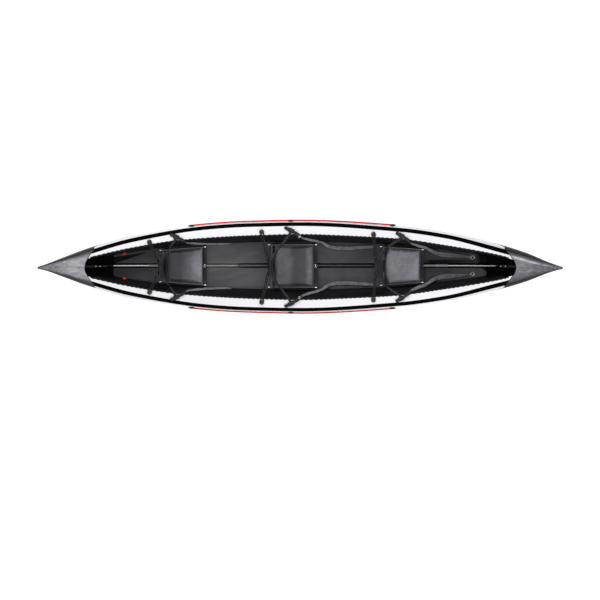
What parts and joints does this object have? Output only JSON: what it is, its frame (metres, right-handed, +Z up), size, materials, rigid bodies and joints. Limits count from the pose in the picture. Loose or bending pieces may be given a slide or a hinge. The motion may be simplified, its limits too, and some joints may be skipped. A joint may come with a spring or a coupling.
{
  "type": "folding kayak",
  "caption": "Long open folding kayak with a dark fabric hull, white inflatable sides, grey end covers, a jointed keel tube and sling seats with straps.",
  "frame": {"origin": "on the floor under the middle of the boat", "axes": "+X to the bow, +Y to port, +Z up"},
  "size_m": [5.35, 0.966, 0.5136],
  "materials": {
    "skin": "coated fabric, satin",
    "panel": "coated fabric, satin",
    "band": "coated fabric, satin",
    "cover": "coated fabric, satin",
    "chamber": "coated fabric, matt",
    "mat": "foam rubber, matt",
    "tube": "anodised",
    "moulded": "moulded, fine grain",
    "pad": "coated fabric, glossy",
    "backing": "woven fabric over foam",
    "webbing": "woven webbing",
    "elastic": "braided elastic cord",
    "rope": "braided rope",
    "cap": "moulded, satin"
  },
  "bodies": {
    "boat": {"hull_skin": "skin", "stern_cover": "cover", "bow_cover": "cover", "stern_board": "moulded", "bow_board": "moulded", "side_panel_port": "panel", "deck_line_port": "rope", "sheer_band_port": "band", "side_deck_port": "panel", "air_chamber_port": "chamber", "floor_mat_port": "mat", "side_panel_starboard": "panel", "deck_line_starboard": "rope", "sheer_band_starboard": "band", "side_deck_starboard": "panel", "air_chamber_starboard": "chamber", "floor_mat_starboard": "mat", "keel_tube_stern": "tube", "keel_tube_aft": "tube", "keel_tube_middle": "tube", "keel_tube_bow": "tube", "rib_rear_1": "moulded", "rib_front_1": "moulded", "seat_frame_1": "tube", "seat_pad_1": "pad", "back_cord_1": "elastic", "deck_knob_port_1": "moulded", "deck_strap_port_1": "webbing", "back_strap_port_1": "webbing", "deck_knob_starboard_1": "moulded", "deck_strap_starboard_1": "webbing", "back_strap_starboard_1": "webbing", "rib_rear_2": "moulded", "rib_front_2": "moulded", "seat_frame_2": "tube", "seat_pad_2": "pad", "back_cord_2": "elastic", "deck_knob_port_2": "moulded", "deck_strap_port_2": "webbing", "back_strap_port_2": "webbing", "deck_knob_starboard_2": "moulded", "deck_strap_starboard_2": "webbing", "back_strap_starboard_2": "webbing", "rib_rear_3": "moulded", "rib_front_3": "moulded", "seat_frame_3": "tube", "seat_pad_3": "pad", "back_cord_3": "elastic", "deck_knob_port_3": "moulded", "deck_strap_port_3": "webbing", "back_strap_port_3": "webbing", "deck_knob_starboard_3": "moulded", "deck_strap_starboard_3": "webbing", "back_strap_starboard_3": "webbing"},
    "valve_cap_port": {"valve_cap_port": "cap"},
    "valve_cap_starboard": {"valve_cap_starboard": "cap"},
    "backrest_1": {"backrest_1": "backing"},
    "backrest_2": {"backrest_2": "backing"},
    "backrest_3": {"backrest_3": "backing"}
  },
  "joints": [
    {"name": "backrest_fold_1", "type": "hinge", "parent": "boat", "child": "backrest_1", "pos_m": [-1.414, 0, 0.104], "axis": [0, 1, 0], "range_deg": [0, 60], "stiffness_Nm_per_rad": 1, "springref_deg": -11.46, "deforming": ["back_cord_1", "back_strap_port_1", "back_strap_starboard_1"]},
    {"name": "backrest_fold_2", "type": "hinge", "parent": "boat", "child": "backrest_2", "pos_m": [-0.29211, 0, 0.104], "axis": [0, 1, 0], "range_deg": [0, 60], "stiffness_Nm_per_rad": 1, "springref_deg": -11.46, "deforming": ["back_cord_2", "back_strap_port_2", "back_strap_starboard_2"]},
    {"name": "backrest_fold_3", "type": "hinge", "parent": "boat", "child": "backrest_3", "pos_m": [0.86189, 0, 0.104], "axis": [0, 1, 0], "range_deg": [0, 75], "stiffness_Nm_per_rad": 1, "springref_deg": -11.46, "deforming": ["back_cord_3", "back_strap_port_3", "back_strap_starboard_3"]},
    {"name": "valve_cap_turn_port", "type": "hinge", "parent": "boat", "child": "valve_cap_port", "pos_m": [-1.81098, 0.14074, 0.14369], "axis": [0.1785, -0.9803, 0.0848], "range_deg": [0, 90]},
    {"name": "valve_cap_turn_starboard", "type": "hinge", "parent": "boat", "child": "valve_cap_starboard", "pos_m": [-1.81098, -0.14074, 0.14369], "axis": [0.1785, 0.9803, 0.0848], "range_deg": [0, 90]}
  ]
}
